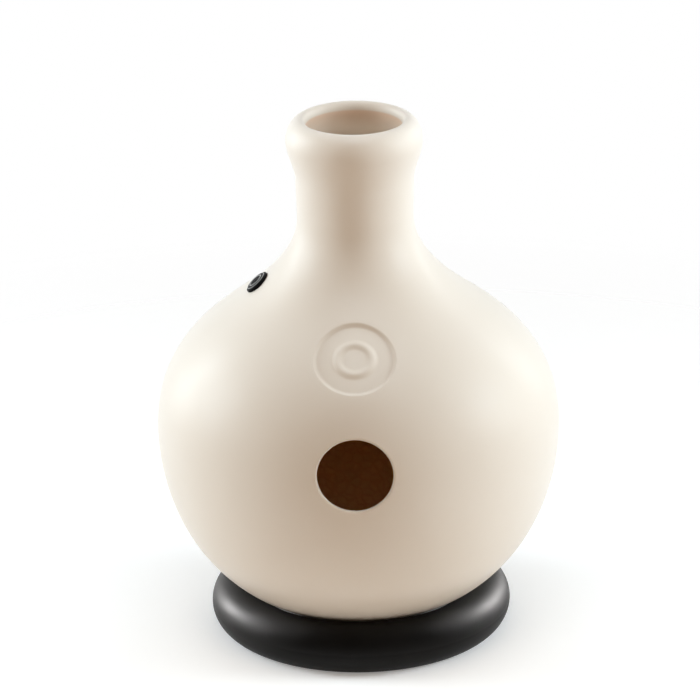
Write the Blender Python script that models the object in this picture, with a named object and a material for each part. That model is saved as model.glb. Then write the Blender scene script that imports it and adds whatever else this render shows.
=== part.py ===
"""Ibo drum: a hollow moulded vessel with a beaded neck and a side hole, sitting loose in a ring stand.

Units are metres. The origin lies on the table under the drum's axis, +Z is up, and the side hole
faces -Y. Heights of the vessel are measured from the centre of its round body.
"""
import math

import bmesh
import bpy
from mathutils import Matrix, Vector

# Round body, a little flatter underneath than a ball, and its wall
BODY_RADIUS = 0.165
BODY_CENTRE_Z = 0.1776
BOTTOM_DEPTH = 0.1638
BOTTOM_PULL = 0.1174
EQUATOR_PULL_DOWN = 0.0782
WALL = 0.0045

# Shoulder, where the round body turns into the hollow curve of the neck
EQUATOR_PULL_UP = 0.0559
SHOULDER_RADIUS = 0.1025
SHOULDER_HEIGHT = 0.1041
SHOULDER_LEAN = math.radians(54.4)
SHOULDER_PULL_DOWN = 0.0347
SHOULDER_PULL_UP = 0.0311

# Neck and its rolled lip
WAIST_RADIUS = 0.0474
WAIST_HEIGHT = 0.1783
WAIST_PULL = 0.0297
NECK_TOP_RADIUS = 0.0482
NECK_TOP_HEIGHT = 0.2127
BEAD_RADIUS = 0.0557
BEAD_HEIGHT = 0.2434
BEAD_PULL_DOWN = 0.0068
BEAD_PULL_UP = 0.0079
CREST_RADIUS = 0.0409
CREST_HEIGHT = 0.2619
MOUTH_RADIUS = 0.0370
MOUTH_ROUNDING = 0.0065

# Side hole, slightly wider than high, and the shallow round dish above it
HOLE_WIDTH = 0.061
HOLE_HEIGHT = 0.058
HOLE_LATITUDE = math.radians(5.6)
HOLE_CUT_DEPTH = 0.055
DISH_RADIUS = 0.0340
DISH_DEPTH = 0.0018
DISH_HEIGHT = 0.0974

# Glass tape laminated inside along the seam of the two half shells; below the bowl's height it is
# laid from above, higher up from the side
SEAM_GAP = 0.0003
TAPE_HALF_WIDTH = 0.020
TAPE_THICKNESS = 0.0012
TAPE_GAP = 0.0006
TAPE_TOP_HEIGHT = 0.208
TAPE_BOWL_HEIGHT = -0.08
TAPE_SHARES = (-1.0, -0.5, 0.0, 0.5, 1.0)

# Round badge on the shoulder
BADGE_HEIGHT = 0.1219
BADGE_AZIMUTH = math.radians(-87.9)
BADGE_RADIUS = 0.0108
BADGE_THICKNESS = 0.0024
BADGE_CHAMFER_WIDTH = 0.0020
BADGE_CHAMFER_HEIGHT = 0.0011
BADGE_RIM_WIDTH = 0.0007
BADGE_POCKET_DEPTH = 0.0010
BADGE_GAP = 0.0006
INLAY_GAP = 0.0003
INLAY_CROWN = 0.0003
INLAY_FLAT_SHARE = 0.6

# Ring stand, round in section, with a flat underneath and a narrow seat pressed into its top
RING_CENTRE_RADIUS = 0.1033
RING_PARTING_Z = 0.0196
RING_HALF_WIDTH = 0.0206
RING_HALF_HEIGHT = 0.0211
SEAT_GAP = 0.0006

# Facets
HALF_TURN_STEPS = 28
BOWL_STEPS = 9
SHOULDER_STEPS = 6
FLARE_STEPS = 7
NECK_STEPS = 2
BEAD_STEPS = 4
LIP_STEPS = 4
HOLE_STEPS = 40
RING_STEPS = 20
BADGE_STEPS = 24
FINE = 12
MERGE_DISTANCE = 1e-6
SHARP_ANGLE = math.radians(32.0)

# Finishes: colour and roughness
IVORY = (0.86, 0.78, 0.67)
IVORY_ROUGHNESS = 0.16
RAW_LAMINATE = (0.62, 0.52, 0.36)
LAMINATE_ROUGHNESS = 0.55
BLACK_RUBBER = (0.020, 0.020, 0.022)
RUBBER_ROUGHNESS = 0.42
BLACK_PLASTIC = (0.012, 0.012, 0.013)
PLASTIC_ROUGHNESS = 0.35
DARK_GREY = (0.045, 0.045, 0.048)
INLAY_ROUGHNESS = 0.30


def clear_scene():
    """Remove every object of the start scene."""
    for old in list(bpy.data.objects):
        bpy.data.objects.remove(old, do_unlink=True)


def finish(name, base_color, roughness):
    """Return a Principled material of one colour and gloss."""
    material = bpy.data.materials.new(name)
    material.use_nodes = True
    shader = material.node_tree.nodes["Principled BSDF"]
    shader.inputs["Base Color"].default_value = (*base_color, 1.0)
    shader.inputs["Roughness"].default_value = roughness
    shader.inputs["Metallic"].default_value = 0.0
    return material


def add_object(name, mesh_builder, material=None, parent=None):
    """Turn a bmesh into a named object, shaded smooth across its shallow edges."""
    bmesh.ops.recalc_face_normals(mesh_builder, faces=mesh_builder.faces)
    mesh = bpy.data.meshes.new(name)
    mesh_builder.to_mesh(mesh)
    mesh_builder.free()
    mesh.shade_smooth()
    mesh.set_sharp_from_angle(angle=SHARP_ANGLE)
    thing = bpy.data.objects.new(name, mesh)
    bpy.context.scene.collection.objects.link(thing)
    if material is not None:
        mesh.materials.append(material)
    if parent is not None:
        thing.parent = parent
    return thing


def hide_cutter(cutter):
    """Mark an object as a cutter, which is no piece of the drum."""
    cutter.hide_render = True
    cutter.display_type = "WIRE"


def cut(target, cutter):
    """Cut one object out of another with a live Boolean."""
    step = target.modifiers.new(f"cut_{cutter.name}", "BOOLEAN")
    step.operation = "DIFFERENCE"
    step.object = cutter


def bezier(start, pull_start, pull_end, end, steps):
    """Return the points of a cubic curve after its start point."""
    points = []
    for index in range(1, steps + 1):
        t = index / steps
        u = 1.0 - t
        points.append(u**3 * start + 3 * u * u * t * pull_start + 3 * u * t * t * pull_end + t**3 * end)
    return points


def elliptic_arc(centre, half_width, half_height, first_angle, last_angle, steps):
    """Return the points of an ellipse's arc, both ends included."""
    points = []
    for index in range(steps + 1):
        angle = first_angle + (last_angle - first_angle) * index / steps
        points.append(centre + Vector((half_width * math.cos(angle), half_height * math.sin(angle))))
    return points


def outer_profile(fineness=1):
    """Return the vessel's outside from the bottom pole to the lip's crest, as (radius, height) points."""
    equator = Vector((BODY_RADIUS, 0.0))
    shoulder = Vector((SHOULDER_RADIUS, SHOULDER_HEIGHT))
    shoulder_run = Vector((-math.sin(SHOULDER_LEAN), math.cos(SHOULDER_LEAN)))
    waist = Vector((WAIST_RADIUS, WAIST_HEIGHT))
    neck_top = Vector((NECK_TOP_RADIUS, NECK_TOP_HEIGHT))
    bead = Vector((BEAD_RADIUS, BEAD_HEIGHT))
    up = Vector((0.0, 1.0))
    neck_third = (NECK_TOP_HEIGHT - WAIST_HEIGHT) / 3.0

    bottom = Vector((0.0, -BOTTOM_DEPTH))
    points = [bottom]
    points += bezier(
        bottom,
        bottom + Vector((BOTTOM_PULL, 0.0)),
        equator - up * EQUATOR_PULL_DOWN,
        equator,
        BOWL_STEPS * fineness,
    )
    points += bezier(
        equator,
        equator + up * EQUATOR_PULL_UP,
        shoulder - shoulder_run * SHOULDER_PULL_DOWN,
        shoulder,
        SHOULDER_STEPS * fineness,
    )
    points += bezier(
        shoulder,
        shoulder + shoulder_run * SHOULDER_PULL_UP,
        waist - up * WAIST_PULL,
        waist,
        FLARE_STEPS * fineness,
    )
    points += bezier(
        waist,
        waist + up * neck_third,
        neck_top - up * neck_third,
        neck_top,
        NECK_STEPS * fineness,
    )
    points += bezier(
        neck_top,
        neck_top + up * BEAD_PULL_DOWN,
        bead - up * BEAD_PULL_UP,
        bead,
        BEAD_STEPS * fineness,
    )
    lip_centre = Vector((CREST_RADIUS, BEAD_HEIGHT))
    lip = elliptic_arc(
        lip_centre,
        BEAD_RADIUS - CREST_RADIUS,
        CREST_HEIGHT - BEAD_HEIGHT,
        0.0,
        math.pi / 2,
        LIP_STEPS * fineness,
    )
    return points + lip[1:]


def offset_profile(points, depth):
    """Return the profile moved inwards by a depth, point by point along its normals."""
    moved = []
    last = len(points) - 1
    for index, point in enumerate(points):
        run = points[min(index + 1, last)] - points[max(index - 1, 0)]
        inward = Vector((-run.y, run.x)).normalized()
        moved.append(point + inward * depth)
    moved[0] = points[0] + Vector((0.0, depth))
    return moved


def inner_profile():
    """Return the vessel's inside from the bottom pole up to the round of the mouth."""
    outside = [point for point in outer_profile() if point.y <= NECK_TOP_HEIGHT + MERGE_DISTANCE]
    inside = offset_profile(outside, WALL)
    mouth_foot = Vector((MOUTH_RADIUS, BEAD_HEIGHT))
    rise = Vector((0.0, (BEAD_HEIGHT - inside[-1].y) / 3.0))
    inside += bezier(inside[-1], inside[-1] + rise, mouth_foot - rise, mouth_foot, BEAD_STEPS)
    round_centre = Vector((CREST_RADIUS, CREST_HEIGHT - MOUTH_ROUNDING))
    mouth = elliptic_arc(
        round_centre, CREST_RADIUS - MOUTH_RADIUS, MOUTH_ROUNDING, math.pi, math.pi / 2, LIP_STEPS // 2
    )
    return inside + mouth[:-1]


def surface_at(height):
    """Return the outside's radius and its normal's upward angle at a height."""
    points = outer_profile(FINE)
    for low, high in zip(points, points[1:]):
        if low.y <= height <= high.y:
            share = (height - low.y) / (high.y - low.y)
            run = high - low
            return low.x + (high.x - low.x) * share, math.atan2(-run.x, run.y)
    raise ValueError("height is off the vessel")


def surface_frame(height, azimuth):
    """Return the frame on the outside whose Z is the normal; azimuth 0 is the front, -Y."""
    radius, rise = surface_at(height)
    outward = Vector((math.sin(azimuth), -math.cos(azimuth), 0.0))
    normal = outward * math.cos(rise) + Vector((0.0, 0.0, math.sin(rise)))
    across = Vector((0.0, 0.0, 1.0)).cross(outward)
    frame = Matrix((across, normal.cross(across), normal)).transposed().to_4x4()
    frame.translation = outward * radius + Vector((0.0, 0.0, height))
    return frame


def revolve(section, turn, steps, closed):
    """Spin a section of (radius, height) points about Z and return the mesh, open where the turn is."""
    builder = bmesh.new()
    points = [builder.verts.new((point.x, 0.0, point.y)) for point in section]
    lines = [builder.edges.new(pair) for pair in zip(points, points[1:])]
    if closed:
        lines.append(builder.edges.new((points[-1], points[0])))
    bmesh.ops.spin(
        builder,
        geom=points + lines,
        cent=(0.0, 0.0, 0.0),
        axis=(0.0, 0.0, 1.0),
        angle=turn,
        steps=steps,
        use_merge=False,
    )
    bmesh.ops.remove_doubles(builder, verts=builder.verts, dist=MERGE_DISTANCE)
    return builder


def close_ends(builder):
    """Cap the flat open end that a part turn leaves."""
    rim = [edge for edge in builder.edges if edge.is_boundary]
    caps = bmesh.ops.edgeloop_fill(builder, edges=rim)["faces"]
    bmesh.ops.triangulate(builder, faces=caps, ngon_method="EAR_CLIP")


def half_shell(name, side, material, vessel):
    """Make the front (side -1) or rear (side +1) moulding of the vessel."""
    section = outer_profile() + list(reversed(inner_profile()))
    builder = revolve(section, side * math.pi, HALF_TURN_STEPS, closed=False)
    close_ends(builder)
    bmesh.ops.translate(builder, verts=builder.verts, vec=(0.0, side * SEAM_GAP / 2.0, 0.0))
    return add_object(name, builder, material, vessel)


def hole_cutter(vessel):
    """Make the oval plug that opens the side hole through the front wall."""
    builder = bmesh.new()
    aim = Matrix.Rotation(math.pi / 2 - HOLE_LATITUDE, 4, "X")
    reach = Matrix.Translation((0.0, 0.0, BODY_RADIUS))
    oval = Matrix.Diagonal((HOLE_WIDTH / 2.0, HOLE_HEIGHT / 2.0, 1.0, 1.0))
    bmesh.ops.create_cone(
        builder,
        cap_ends=True,
        segments=HOLE_STEPS,
        radius1=1.0,
        radius2=1.0,
        depth=HOLE_CUT_DEPTH,
        matrix=aim @ reach @ oval,
    )
    cutter = add_object("side_hole_cutter", builder, parent=vessel)
    hide_cutter(cutter)
    return cutter


def dish_cutter(vessel):
    """Make the cutter of the shallow dish, whose floor follows the shoulder at an even depth."""
    body = [point for point in outer_profile() if point.y <= WAIST_HEIGHT]
    core_section = offset_profile(body, DISH_DEPTH)
    core_section.append(Vector((0.0, core_section[-1].y)))
    core_builder = revolve(core_section, 2 * math.pi, 2 * HALF_TURN_STEPS, closed=False)
    core = add_object("dish_core", core_builder, parent=vessel)
    hide_cutter(core)

    builder = bmesh.new()
    bmesh.ops.create_cone(
        builder,
        cap_ends=True,
        segments=HOLE_STEPS,
        radius1=DISH_RADIUS,
        radius2=DISH_RADIUS,
        depth=DISH_RADIUS,
        matrix=surface_frame(DISH_HEIGHT, 0.0),
    )
    cutter = add_object("dish_cutter", builder, parent=vessel)
    hide_cutter(cutter)
    cut(cutter, core)
    return cutter


def height_in_bowl(lining, radius):
    """Return the height at which the lower half of a lining reaches a radius."""
    for low, high in zip(lining, lining[1:]):
        if low.x <= radius <= high.x:
            return low.y + (high.y - low.y) * (radius - low.x) / (high.x - low.x)
    raise ValueError("radius is off the bowl")


def tape_face(depth):
    """Return the tape's face at a depth inside the wall, as rows of points across its width."""
    body = [point for point in outer_profile() if point.y <= TAPE_TOP_HEIGHT]
    lining = offset_profile(body, WALL + depth)
    places = [(point, -1.0) for point in reversed(lining[1:])] + [(point, 1.0) for point in lining]
    rows = []
    for point, side in places:
        row = []
        for share in TAPE_SHARES:
            across = TAPE_HALF_WIDTH * share
            if point.y < TAPE_BOWL_HEIGHT:
                height = height_in_bowl(lining, math.hypot(point.x, across))
                row.append(Vector((side * point.x, across, height)))
            else:
                row.append(Vector((side * math.sqrt(point.x**2 - across**2), across, point.y)))
        rows.append(row)
    return rows


def seam_tape(material, vessel):
    """Make the glass tape that bridges the seam inside, down one side, under and up the other."""
    builder = bmesh.new()
    rings = []
    for outside, inside in zip(tape_face(TAPE_GAP), tape_face(TAPE_GAP + TAPE_THICKNESS)):
        rings.append([builder.verts.new(spot) for spot in outside + inside[::-1]])
    for ring, following in zip(rings, rings[1:]):
        for index in range(len(ring)):
            beside = (index + 1) % len(ring)
            builder.faces.new((ring[index], ring[beside], following[beside], following[index]))
    builder.faces.new(rings[0])
    builder.faces.new(rings[-1])
    return add_object("seam_tape", builder, material, vessel)


def badge(base_material, inlay_material, vessel):
    """Make the round badge bonded to the shoulder: a rimmed base and the plain disc set in it."""
    seat = bpy.data.objects.new("badge_seat", None)
    bpy.context.scene.collection.objects.link(seat)
    seat.parent = vessel
    bond = Matrix.Translation((0.0, 0.0, BADGE_GAP))
    seat.matrix_local = surface_frame(BADGE_HEIGHT, BADGE_AZIMUTH) @ bond

    top_radius = BADGE_RADIUS - BADGE_CHAMFER_WIDTH
    pocket_radius = top_radius - BADGE_RIM_WIDTH
    pocket_floor = BADGE_THICKNESS - BADGE_POCKET_DEPTH
    base_section = [
        Vector((0.0, pocket_floor)),
        Vector((pocket_radius, pocket_floor)),
        Vector((pocket_radius, BADGE_THICKNESS)),
        Vector((top_radius, BADGE_THICKNESS)),
        Vector((BADGE_RADIUS, BADGE_THICKNESS - BADGE_CHAMFER_HEIGHT)),
        Vector((BADGE_RADIUS, 0.0)),
        Vector((0.0, 0.0)),
    ]
    base_builder = revolve(base_section, 2 * math.pi, BADGE_STEPS, closed=False)
    add_object("badge_base", base_builder, base_material, seat)

    inlay_radius = pocket_radius - INLAY_GAP
    inlay_floor = pocket_floor + INLAY_GAP
    inlay_section = [
        Vector((0.0, BADGE_THICKNESS + INLAY_CROWN)),
        Vector((inlay_radius * INLAY_FLAT_SHARE, BADGE_THICKNESS)),
        Vector((inlay_radius, BADGE_THICKNESS - INLAY_CROWN)),
        Vector((inlay_radius, inlay_floor)),
        Vector((0.0, inlay_floor)),
    ]
    inlay_builder = revolve(inlay_section, 2 * math.pi, BADGE_STEPS, closed=False)
    add_object("badge_inlay", inlay_builder, inlay_material, seat)


def clearance(point, profile):
    """Return how far a point lies outside the vessel's profile; the point's height is a world one."""
    spot = point - Vector((0.0, BODY_CENTRE_Z))
    nearest, following = min(zip(profile, profile[1:]), key=lambda pair: (pair[0] - spot).length)
    run = (following - nearest).normalized()
    return (spot - nearest).dot(Vector((run.y, -run.x)))


def ring_section():
    """Return the stand's closed section: round, flat underneath, pressed in where the body sits."""
    profile = outer_profile(FINE)
    centre = Vector((RING_CENTRE_RADIUS, RING_PARTING_Z))
    base_angle = math.asin(RING_PARTING_Z / RING_HALF_HEIGHT)
    section = elliptic_arc(
        centre, RING_HALF_WIDTH, RING_HALF_HEIGHT, -base_angle, math.pi + base_angle, RING_STEPS
    )
    section[0].y = 0.0
    section[-1].y = 0.0
    for point in section:
        pressed = SEAT_GAP - clearance(point, profile)
        if pressed > 0.0:
            point += (centre - point).normalized() * pressed
    return section


def stand_ring(material):
    """Make the ring stand, one soft moulding."""
    builder = revolve(ring_section(), 2 * math.pi, 2 * HALF_TURN_STEPS, closed=True)
    return add_object("stand_ring", builder, material)


def build():
    """Build every piece of the drum."""
    clear_scene()
    ivory = finish("ivory_gel_coat", IVORY, IVORY_ROUGHNESS)
    laminate = finish("raw_glass_laminate", RAW_LAMINATE, LAMINATE_ROUGHNESS)
    rubber = finish("black_rubber", BLACK_RUBBER, RUBBER_ROUGHNESS)
    plastic = finish("black_plastic", BLACK_PLASTIC, PLASTIC_ROUGHNESS)
    inlay = finish("dark_grey_inlay", DARK_GREY, INLAY_ROUGHNESS)

    vessel = bpy.data.objects.new("vessel", None)
    vessel.location = (0.0, 0.0, BODY_CENTRE_Z)
    bpy.context.scene.collection.objects.link(vessel)

    front = half_shell("front_shell", -1.0, ivory, vessel)
    cut(front, hole_cutter(vessel))
    cut(front, dish_cutter(vessel))
    half_shell("rear_shell", 1.0, ivory, vessel)
    seam_tape(laminate, vessel)
    badge(plastic, inlay, vessel)
    stand_ring(rubber)


build()
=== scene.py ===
"""Looks of an ibo drum: an ivory moulded vessel with a shoulder badge, in a black ring stand.

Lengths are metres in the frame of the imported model: +Z is up, the table is at Z 0, the drum's axis is the
Z axis and the side hole faces -Y. Heights of the vessel's parts count from the centre of its round body,
and a line that is turned is a row of (radius, world height) points.
"""
import logging
import math
from dataclasses import dataclass
from enum import Enum

import bmesh
import bpy
import numpy as np
from mathutils import Matrix, Vector


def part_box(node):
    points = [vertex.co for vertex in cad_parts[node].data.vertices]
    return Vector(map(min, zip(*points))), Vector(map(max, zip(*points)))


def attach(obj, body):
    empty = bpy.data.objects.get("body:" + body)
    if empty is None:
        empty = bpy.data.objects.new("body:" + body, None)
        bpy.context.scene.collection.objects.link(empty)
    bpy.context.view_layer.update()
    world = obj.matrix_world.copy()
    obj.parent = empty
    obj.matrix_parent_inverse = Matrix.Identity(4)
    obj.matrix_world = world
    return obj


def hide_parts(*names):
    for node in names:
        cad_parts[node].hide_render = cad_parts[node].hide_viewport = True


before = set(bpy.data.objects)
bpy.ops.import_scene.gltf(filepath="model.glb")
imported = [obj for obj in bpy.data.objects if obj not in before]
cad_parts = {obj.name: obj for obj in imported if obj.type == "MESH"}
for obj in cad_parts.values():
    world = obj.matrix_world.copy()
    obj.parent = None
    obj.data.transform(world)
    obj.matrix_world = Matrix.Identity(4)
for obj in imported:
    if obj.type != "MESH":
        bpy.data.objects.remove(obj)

MERGE_DISTANCE = 1e-6
FULL_TURN = 2.0 * math.pi
UP = Vector((0.0, 0.0, 1.0))
WHITE = (1.0, 1.0, 1.0)
VESSEL = "vessel"
RING = "ring_moulding"
# mesh attribute marking the badge edges that get painted highlights
HIGHLIGHT_MARK = "painted_edge_highlights"

Colour = tuple[float, float, float]
Range = tuple[float, float]
Socket = bpy.types.NodeSocket

logging.basicConfig(level=logging.INFO, format="%(message)s")
log = logging.getLogger("ibo_drum")


class Skin(Enum):
    """The two faces of the vessel's wall."""

    OUTER = "outer"
    INNER = "inner"


class Element(Enum):
    """What is picked in edit mode."""

    VERTEX = "VERT"
    EDGE = "EDGE"


class Rise(Enum):
    """How a mapped value goes from one end of its range to the other."""

    STRAIGHT = "LINEAR"
    SOFT = "SMOOTHSTEP"


class Glow(Enum):
    """What a lamp does on a surface."""

    ALL = "all"
    SOFT = "soft light only"
    SHINE = "highlight only"


# Curves and turned surfaces


def bezier(start: np.ndarray, pull_start: np.ndarray, pull_end: np.ndarray, end: np.ndarray,
           steps: int) -> np.ndarray:
    """Sample a cubic curve.

    Args:
        start, pull_start, pull_end, end: The curve's four points.
        steps: Number of steps along the curve.

    Returns:
        The points after the start point, one row each.
    """
    t = np.linspace(0.0, 1.0, steps + 1)[1:, None]
    u = 1.0 - t
    return u**3 * start + 3 * u * u * t * pull_start + 3 * u * t * t * pull_end + t**3 * end


def arc(centre: tuple[float, float], half_width: float, half_height: float, first: float, last: float,
        steps: int) -> np.ndarray:
    """Sample an ellipse's arc.

    Args:
        centre: Centre of the ellipse as (radius, height).
        half_width: Half the ellipse's width.
        half_height: Half its height.
        first: First angle in radians, from the radial direction.
        last: Last angle in radians.
        steps: Number of steps along the arc.

    Returns:
        The arc's points, both ends included.
    """
    angle = np.linspace(first, last, steps + 1)
    radius = centre[0] + half_width * np.cos(angle)
    height = centre[1] + half_height * np.sin(angle)
    return np.stack([radius, height], axis=1)


def even_spacing(line: np.ndarray, spacing: float) -> np.ndarray:
    """Resample a line at even steps along its length.

    Args:
        line: The line's points.
        spacing: Wanted step length.

    Returns:
        The new points, with the same two ends.
    """
    steps = np.linalg.norm(np.diff(line, axis=0), axis=1)
    along = np.concatenate([[0.0], np.cumsum(steps)])
    places = np.linspace(0.0, along[-1], max(2, round(along[-1] / spacing) + 1))
    return np.stack([np.interp(places, along, line[:, 0]), np.interp(places, along, line[:, 1])], axis=1)


def smooth_step(value: np.ndarray) -> np.ndarray:
    """Return 0 below 0, 1 above 1 and a soft rise between."""
    share = np.clip(value, 0.0, 1.0)
    return share * share * (3.0 - 2.0 * share)


def seat_axes(seat: Matrix) -> tuple[np.ndarray, ...]:
    """Return a frame's origin and its X, Y and Z axes as arrays."""
    return np.array(seat.translation), *(np.array(seat.col[index][:3]) for index in range(3))


class TurnedSurface:
    """A surface turned about the Z axis from a line that climbs all along."""

    SEARCH_REACH = 0.09
    SEARCH_STEPS = 46
    SLOPE_STEP = 0.001

    def __init__(self, line: np.ndarray) -> None:
        """Keep the line that is turned."""
        self.line = line

    def radius(self, height: np.ndarray) -> np.ndarray:
        """Return the surface's radius at each height."""
        return np.interp(height, self.line[:, 1], self.line[:, 0])

    def drop(self, spots: np.ndarray, axis: np.ndarray) -> np.ndarray:
        """Slide spots along an axis onto the surface.

        Args:
            spots: Points near the surface, one row each.
            axis: Direction to slide along, pointing out of the surface.

        Returns:
            The points where the surface is met.
        """
        low = np.full(len(spots), -self.SEARCH_REACH)
        high = np.full(len(spots), self.SEARCH_REACH)
        for _ in range(self.SEARCH_STEPS):
            middle = (low + high) / 2.0
            tried = spots + middle[:, None] * axis
            outside = np.hypot(tried[:, 0], tried[:, 1]) > self.radius(tried[:, 2])
            high = np.where(outside, middle, high)
            low = np.where(outside, low, middle)
        return spots + ((low + high) / 2.0)[:, None] * axis

    def frame_at(self, height: float, azimuth: float) -> Matrix:
        """Return the frame on the surface whose Z is the normal.

        Args:
            height: World height of the place.
            azimuth: Angle round the drum in radians, from the front (-Y) towards +X.

        Returns:
            A matrix whose X runs round the drum, Y climbs the surface and Z points out of it.
        """
        step = self.SLOPE_STEP
        rise = math.atan2(float(self.radius(height - step) - self.radius(height + step)), 2 * step)
        outward = Vector((math.sin(azimuth), -math.cos(azimuth), 0.0))
        normal = outward * math.cos(rise) + UP * math.sin(rise)
        across = UP.cross(outward)
        seat = Matrix((across, normal.cross(across), normal)).transposed().to_4x4()
        seat.translation = outward * float(self.radius(height)) + UP * height
        return seat


# Modelling by operator


def deselect_all() -> None:
    """Go back to object mode with nothing selected."""
    if bpy.context.object is not None and bpy.context.object.mode != "OBJECT":
        bpy.ops.object.mode_set(mode="OBJECT")
    bpy.ops.object.select_all(action="DESELECT")


def make_active(thing: bpy.types.Object) -> None:
    """Select one object alone and make it active.

    Args:
        thing: The object.
    """
    deselect_all()
    thing.select_set(True)
    bpy.context.view_layer.objects.active = thing


def close_faces() -> None:
    """Merge doubles of the mesh in edit mode, turn its faces outwards and go back to object mode."""
    bpy.ops.mesh.select_all(action="SELECT")
    bpy.ops.mesh.remove_doubles(threshold=MERGE_DISTANCE)
    bpy.ops.mesh.normals_make_consistent(inside=False)
    bpy.ops.object.mode_set(mode="OBJECT")


def draw_line(name: str, points: np.ndarray, closed: bool = False) -> bpy.types.Object:
    """Draw a line in the XZ plane by extruding one vertex from point to point.

    Args:
        name: Name of the new object.
        points: The line's points.
        closed: True to join the last point to the first.

    Returns:
        The object, left in edit mode with its line selected.
    """
    deselect_all()
    bpy.ops.mesh.primitive_plane_add(size=1.0)
    line = bpy.context.object
    line.name = name
    line.data.name = name
    bpy.ops.object.mode_set(mode="EDIT")
    bpy.ops.mesh.select_mode(type="VERT")
    bpy.ops.mesh.select_all(action="SELECT")
    bpy.ops.mesh.merge(type="CENTER")
    places = np.stack([points[:, 0], np.zeros(len(points)), points[:, 1]], axis=1)
    bpy.ops.transform.translate(value=places[0])
    for step in np.diff(places, axis=0):
        bpy.ops.mesh.extrude_region_move(TRANSFORM_OT_translate={"value": step})
    if closed:
        bpy.ops.mesh.select_all(action="DESELECT")
        ends = bmesh.from_edit_mesh(line.data)
        for corner in ends.verts:
            corner.select_set(len(corner.link_edges) == 1)
        bmesh.update_edit_mesh(line.data)
        bpy.ops.mesh.edge_face_add()
    bpy.ops.mesh.select_all(action="SELECT")
    return line


def spin_line(line: bpy.types.Object, steps: int) -> None:
    """Turn the selected line about the Z axis, close it and go back to object mode.

    Args:
        line: Object in edit mode.
        steps: Number of steps in the full turn.
    """
    bpy.ops.mesh.spin(steps=steps, angle=FULL_TURN, center=(0.0, 0.0, 0.0), axis=UP)
    close_faces()
    line.data.update()


def vertex_places(thing: bpy.types.Object) -> np.ndarray:
    """Return the places of an object's vertices.

    Args:
        thing: The object.

    Returns:
        One row for each vertex.
    """
    places = np.empty(len(thing.data.vertices) * 3)
    thing.data.vertices.foreach_get("co", places)
    return places.reshape(-1, 3)


def set_vertex_places(thing: bpy.types.Object, places: np.ndarray) -> None:
    """Move an object's vertices to new places."""
    thing.data.vertices.foreach_set("co", places.astype(np.float32).ravel())
    thing.data.update()


def edge_ends(thing: bpy.types.Object) -> np.ndarray:
    """Return the two vertices of each edge of an object.

    Args:
        thing: The object.

    Returns:
        One row of two vertex indices for each edge.
    """
    ends = np.empty(len(thing.data.edges) * 2, dtype=np.int32)
    thing.data.edges.foreach_get("vertices", ends)
    return ends.reshape(-1, 2)


def select_in_edit(thing: bpy.types.Object, chosen: np.ndarray, element: Element) -> None:
    """Enter edit mode with only some elements selected.

    Args:
        thing: Object to edit.
        chosen: A flag for each element.
        element: What the flags stand for.
    """
    make_active(thing)
    mesh = thing.data
    for group in (mesh.vertices, mesh.edges, mesh.polygons):
        group.foreach_set("select", np.zeros(len(group), dtype=bool))
    corners = chosen
    if element is Element.EDGE:
        mesh.edges.foreach_set("select", chosen)
        corners = np.zeros(len(mesh.vertices), dtype=bool)
        corners[edge_ends(thing)[chosen].ravel()] = True
    mesh.vertices.foreach_set("select", corners)
    bpy.ops.object.mode_set(mode="EDIT")
    bpy.ops.mesh.select_mode(type=element.value)


def apply_modifiers(thing: bpy.types.Object) -> None:
    """Apply every modifier of an object in order.

    Args:
        thing: The object.
    """
    make_active(thing)
    for step in list(thing.modifiers):
        bpy.ops.object.modifier_apply(modifier=step.name)


def even_normals(thing: bpy.types.Object) -> None:
    """Shade an object smooth, with its normals led by the larger faces.

    Args:
        thing: The object.
    """
    make_active(thing)
    bpy.ops.object.shade_smooth()
    thing.modifiers.new("large_faces_lead", "WEIGHTED_NORMAL")
    apply_modifiers(thing)


def seat_piece(thing: bpy.types.Object, place: Matrix) -> None:
    """Move a piece to its place and put that place into its mesh.

    Args:
        thing: The piece, modelled round the origin.
        place: Where it goes.
    """
    make_active(thing)
    thing.matrix_world = place
    bpy.ops.object.transform_apply(location=True, rotation=True, scale=True)


# Shader nodes and shared effects


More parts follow.
